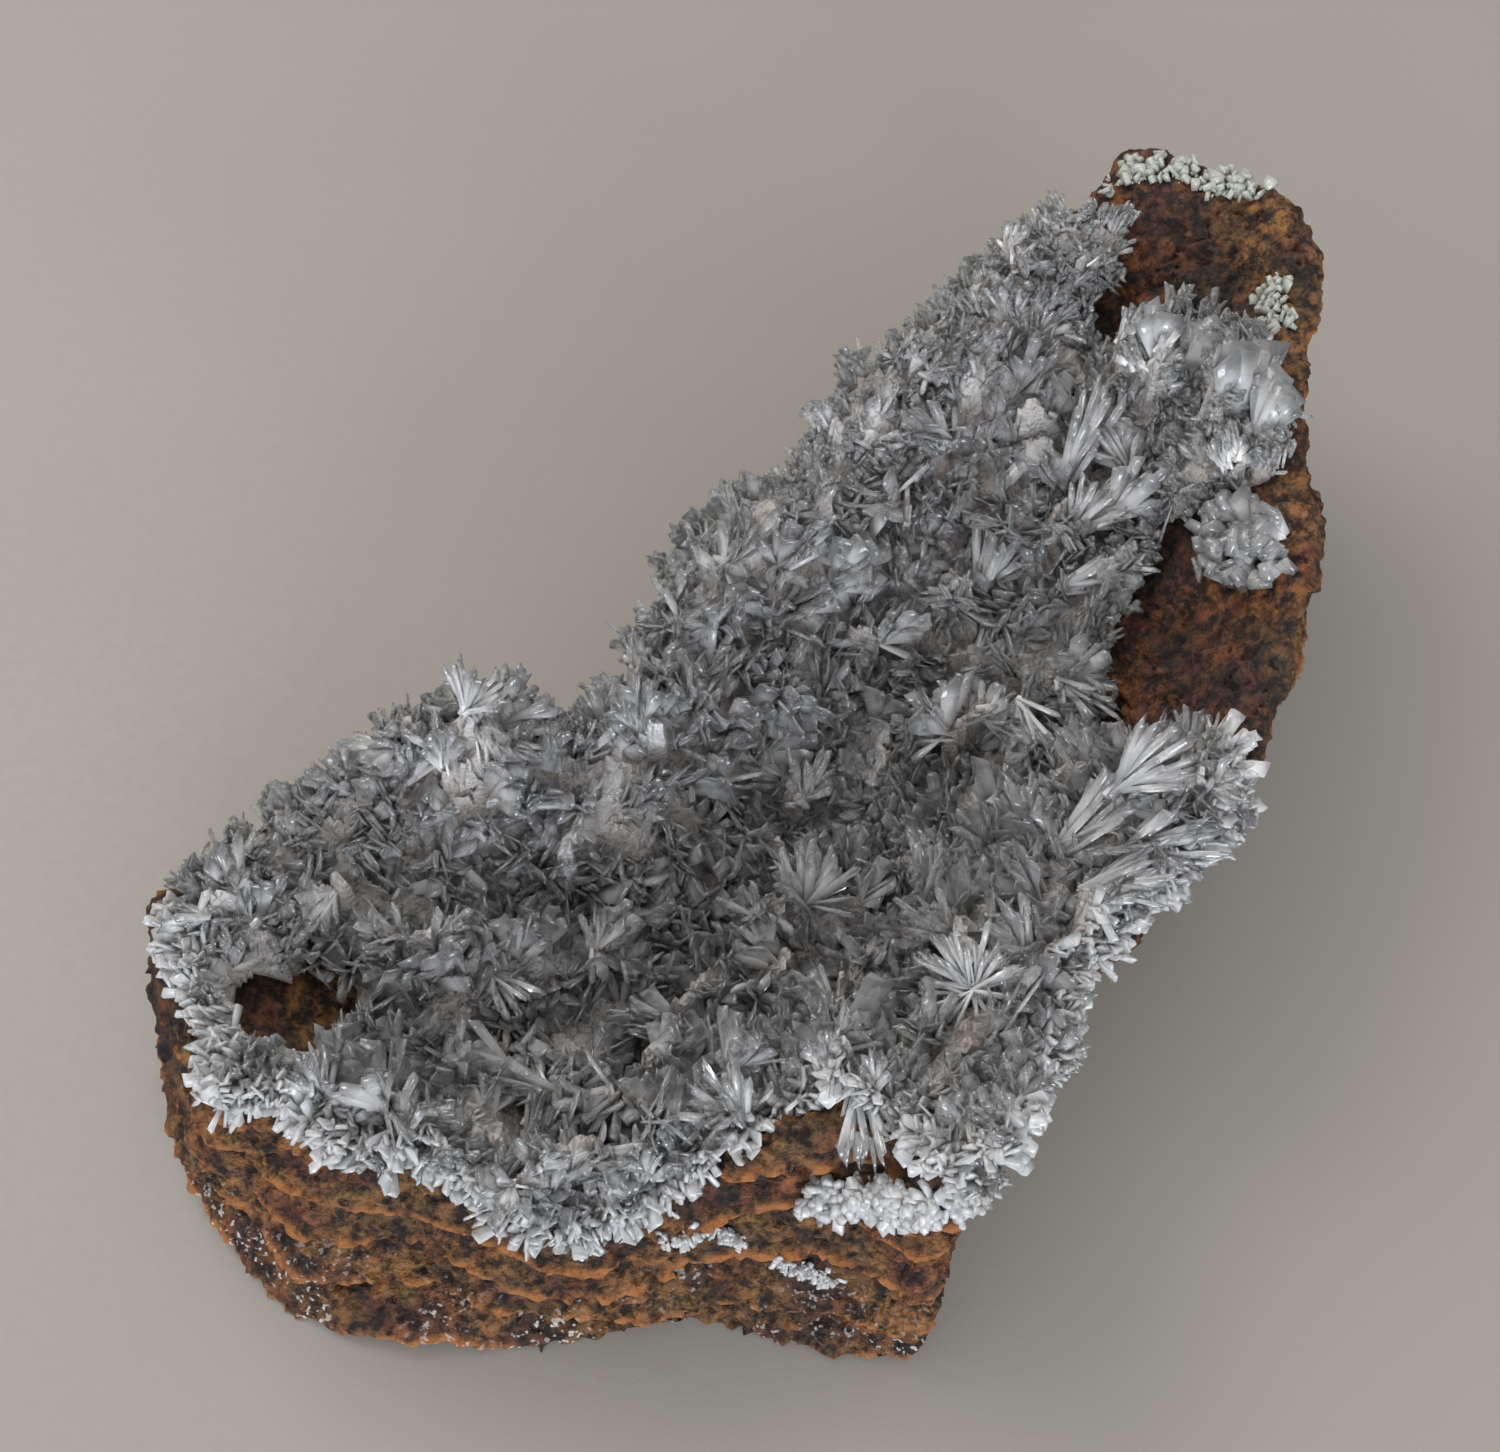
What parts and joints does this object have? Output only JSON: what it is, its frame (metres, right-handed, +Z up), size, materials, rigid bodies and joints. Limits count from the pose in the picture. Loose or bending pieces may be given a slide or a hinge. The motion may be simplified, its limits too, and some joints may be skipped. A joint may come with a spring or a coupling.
{
  "type": "hemimorphite on matrix",
  "caption": "Broken L-shaped piece of brown limonite vug wall, its hollow lined with clear bladed hemimorphite crystals, resting on a flat underside.",
  "frame": {"origin": "on the flat underside, below the middle of the bounding box seen from above", "axes": "+Z up, away from the surface it rests on; the longer arm runs towards +X and +Y; the front wall faces -Y"},
  "size_m": [0.1436, 0.1498, 0.0518],
  "materials": {
    "limonite": "rough, grainy brown rock",
    "hemimorphite": "clear to greyish white crystal"
  },
  "bodies": {
    "root": {"matrix": "limonite", "crystal_crust": "hemimorphite", "edge_cluster": "hemimorphite", "tip_druse": "hemimorphite", "rim_druse": "hemimorphite", "front_seam": "hemimorphite", "lower_seam": "hemimorphite"}
  },
  "joints": []
}
